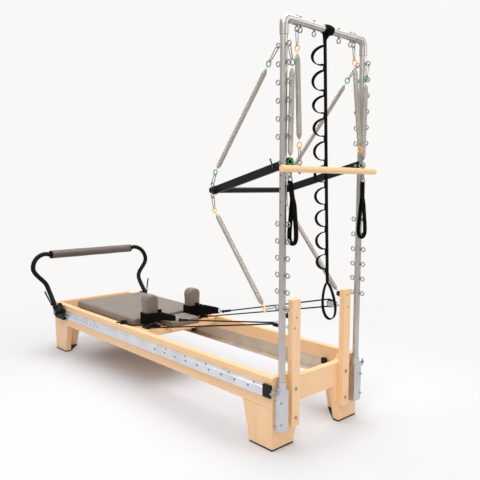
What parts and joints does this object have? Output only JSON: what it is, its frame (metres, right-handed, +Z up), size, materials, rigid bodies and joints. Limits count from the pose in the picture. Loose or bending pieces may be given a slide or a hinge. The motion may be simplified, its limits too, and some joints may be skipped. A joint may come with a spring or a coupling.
{
  "type": "pilates tower unit",
  "caption": "Pilates reformer with a half tower: a sprung, upholstered carriage on wheels in a wooden frame, a foot bar, ropes, and a steel tower with springs, bars and straps",
  "frame": {"origin": "on the floor, under the middle of the whole machine", "axes": "+X along the machine from the foot bar to the tower, +Y to the far side, +Z up"},
  "size_m": [2.4715, 0.9556, 1.959],
  "materials": {
    "wood": "satin",
    "rubber": "matte",
    "rail_aluminium": "satin",
    "track_aluminium": "satin",
    "black_plastic": "matte",
    "tower_steel": "satin",
    "black_steel": "satin",
    "spring_steel": "satin",
    "green_clip": "gloss",
    "yellow_clip": "gloss",
    "webbing": "matte",
    "upholstery": "satin",
    "dark_lever": "satin"
  },
  "bodies": {
    "frame": {"side_boards": "wood", "end_boards": "wood", "legs": "wood", "foot_pads": "rubber", "outer_rails": "rail_aluminium", "rail_end_caps": "black_plastic", "inner_rails": "track_aluminium", "rail_stops": "rubber", "spring_bar": "black_steel", "uprights": "tower_steel", "elbows": "tower_steel", "crossbar": "tower_steel", "eye_bolts": "tower_steel", "tower_brackets": "rail_aluminium", "risers": "wood", "bolts": "tower_steel", "green_clips": "green_clip", "yellow_clips": "yellow_clip", "push_bar_springs": "spring_steel", "roll_down_springs": "spring_steel", "arm_springs": "spring_steel", "ladder_strap": "webbing"},
    "near_clamp": {"near_clamp_screw": "tower_steel"},
    "far_clamp": {"far_clamp_screw": "tower_steel"},
    "near_block": {"near_pulley_block": "rail_aluminium"},
    "far_block": {"far_pulley_block": "rail_aluminium"},
    "near_sheave": {"near_pulley_wheel": "black_plastic"},
    "far_sheave": {"far_pulley_wheel": "black_plastic"},
    "near_knob": {"near_pulley_knob": "black_plastic"},
    "far_knob": {"far_pulley_knob": "black_plastic"},
    "carriage": {"carriage_deck": "wood", "deck_battens": "wood", "mattress": "upholstery", "shoulder_rests": "upholstery", "rest_posts": "black_steel", "wheel_brackets": "rail_aluminium", "rope_cleats": "black_plastic", "carriage_springs": "spring_steel", "shoulder_straps": "webbing", "strap_rings": "tower_steel", "near_rope": "webbing", "far_rope": "webbing"},
    "near_foot_roller": {"near_foot_wheel": "black_plastic"},
    "near_head_roller": {"near_head_wheel": "black_plastic"},
    "far_foot_roller": {"far_foot_wheel": "black_plastic"},
    "far_head_roller": {"far_head_wheel": "black_plastic"},
    "head_rest": {"headrest": "upholstery", "headrest_board": "wood"},
    "foot_carrier": {"foot_bar_brackets": "black_steel", "foot_bar_pins": "tower_steel"},
    "foot_bar_body": {"foot_bar": "black_steel", "foot_bar_pad": "upholstery"},
    "near_release": {"near_foot_lever": "black_steel"},
    "far_release": {"far_foot_lever": "black_steel"},
    "push_bar_body": {"push_bar": "black_steel", "push_bar_clips": "spring_steel"},
    "latch": {"latch_lever": "dark_lever"},
    "roll_down_body": {"roll_down_bar": "wood"},
    "near_loop": {"near_hand_loop": "webbing"},
    "far_loop": {"far_hand_loop": "webbing"}
  },
  "joints": [
    {"name": "carriage_slide", "type": "slide", "parent": "frame", "child": "carriage", "axis": [1, 0, 0], "range_m": [0, 0.8], "stiffness_N_per_m": 350, "springref_m": -0.06, "deforming": ["carriage_springs", "near_rope", "far_rope"]},
    {"name": "near_foot_roll", "type": "hinge", "parent": "carriage", "child": "near_foot_roller", "pos_m": [-0.82, -0.251, 0.23405], "axis": [0, 1, 0], "continuous": true},
    {"name": "near_head_roll", "type": "hinge", "parent": "carriage", "child": "near_head_roller", "pos_m": [-0.26, -0.251, 0.23405], "axis": [0, 1, 0], "continuous": true},
    {"name": "far_foot_roll", "type": "hinge", "parent": "carriage", "child": "far_foot_roller", "pos_m": [-0.82, 0.251, 0.23405], "axis": [0, 1, 0], "continuous": true},
    {"name": "far_head_roll", "type": "hinge", "parent": "carriage", "child": "far_head_roller", "pos_m": [-0.26, 0.251, 0.23405], "axis": [0, 1, 0], "continuous": true},
    {"name": "headrest_tilt", "type": "hinge", "parent": "carriage", "child": "head_rest", "pos_m": [-0.149, 0, 0.33819], "axis": [0, -1, 0], "range_deg": [0, 30]},
    {"name": "foot_bar_slide", "type": "slide", "parent": "frame", "child": "foot_carrier", "axis": [1, 0, 0], "range_m": [0, 0.5]},
    {"name": "foot_bar_tilt", "type": "hinge", "parent": "foot_carrier", "child": "foot_bar_body", "pos_m": [-1.04, 0, 0.312], "axis": [0, -1, 0], "range_deg": [-30, 55]},
    {"name": "near_release_turn", "type": "hinge", "parent": "foot_bar_body", "child": "near_release", "pos_m": [-1.077, -0.39, 0.366], "axis": [0, 1, 0], "range_deg": [-15, 15]},
    {"name": "far_release_turn", "type": "hinge", "parent": "foot_bar_body", "child": "far_release", "pos_m": [-1.077, 0.39, 0.366], "axis": [0, 1, 0], "range_deg": [-15, 15]},
    {"name": "near_clamp_turn", "type": "hinge", "parent": "frame", "child": "near_clamp", "pos_m": [1.169, -0.314, 0.296], "axis": [0, -1, 0], "continuous": true},
    {"name": "far_clamp_turn", "type": "hinge", "parent": "frame", "child": "far_clamp", "pos_m": [1.169, 0.314, 0.296], "axis": [0, 1, 0], "continuous": true},
    {"name": "near_block_swivel", "type": "hinge", "parent": "frame", "child": "near_block", "pos_m": [1.147, -0.198, 0.577], "axis": [1, 0, 0], "range_deg": [-12, 12], "deforming": ["near_rope"]},
    {"name": "far_block_swivel", "type": "hinge", "parent": "frame", "child": "far_block", "pos_m": [1.147, 0.198, 0.62], "axis": [1, 0, 0], "range_deg": [-12, 12], "deforming": ["far_rope"]},
    {"name": "near_sheave_spin", "type": "hinge", "parent": "near_block", "child": "near_sheave", "pos_m": [1.056, -0.198, 0.577], "axis": [0, 0, 1], "continuous": true},
    {"name": "far_sheave_spin", "type": "hinge", "parent": "far_block", "child": "far_sheave", "pos_m": [1.056, 0.198, 0.62], "axis": [0, 1, 0], "continuous": true},
    {"name": "near_knob_turn", "type": "hinge", "parent": "frame", "child": "near_knob", "pos_m": [1.147, -0.187, 0.627], "axis": [1, 0, 0], "continuous": true},
    {"name": "far_knob_turn", "type": "hinge", "parent": "frame", "child": "far_knob", "pos_m": [1.147, 0.187, 0.684], "axis": [1, 0, 0], "continuous": true},
    {"name": "push_bar_swing", "type": "hinge", "parent": "frame", "child": "push_bar_body", "pos_m": [1.169, 0, 1.333], "axis": [0, 1, 0], "range_deg": [-60, 45], "stiffness_Nm_per_rad": 200, "springref_deg": 6.76, "deforming": ["push_bar_springs"]},
    {"name": "latch_turn", "type": "hinge", "parent": "push_bar_body", "child": "latch", "pos_m": [1.085, -0.252, 1.313], "axis": [0, 1, 0], "range_deg": [-20, 20]},
    {"name": "roll_down_pull", "type": "slide", "parent": "frame", "child": "roll_down_body", "axis": [0.6429, 0, -0.7659], "range_m": [0, 0.5], "stiffness_N_per_m": 300, "springref_m": -0.01, "deforming": ["roll_down_springs"]},
    {"name": "near_loop_swing", "type": "hinge", "parent": "frame", "child": "near_loop", "pos_m": [1.199, -0.26, 1.262], "axis": [0, -1, 0], "range_deg": [0, 60]},
    {"name": "far_loop_swing", "type": "hinge", "parent": "frame", "child": "far_loop", "pos_m": [1.199, 0.26, 1.262], "axis": [0, -1, 0], "range_deg": [0, 60]}
  ],
  "couplings": [
    {"joint": "near_foot_roll", "follows": "carriage_slide", "rad_per_m": 40},
    {"joint": "near_head_roll", "follows": "carriage_slide", "rad_per_m": 40},
    {"joint": "far_foot_roll", "follows": "carriage_slide", "rad_per_m": 40},
    {"joint": "far_head_roll", "follows": "carriage_slide", "rad_per_m": 40}
  ]
}
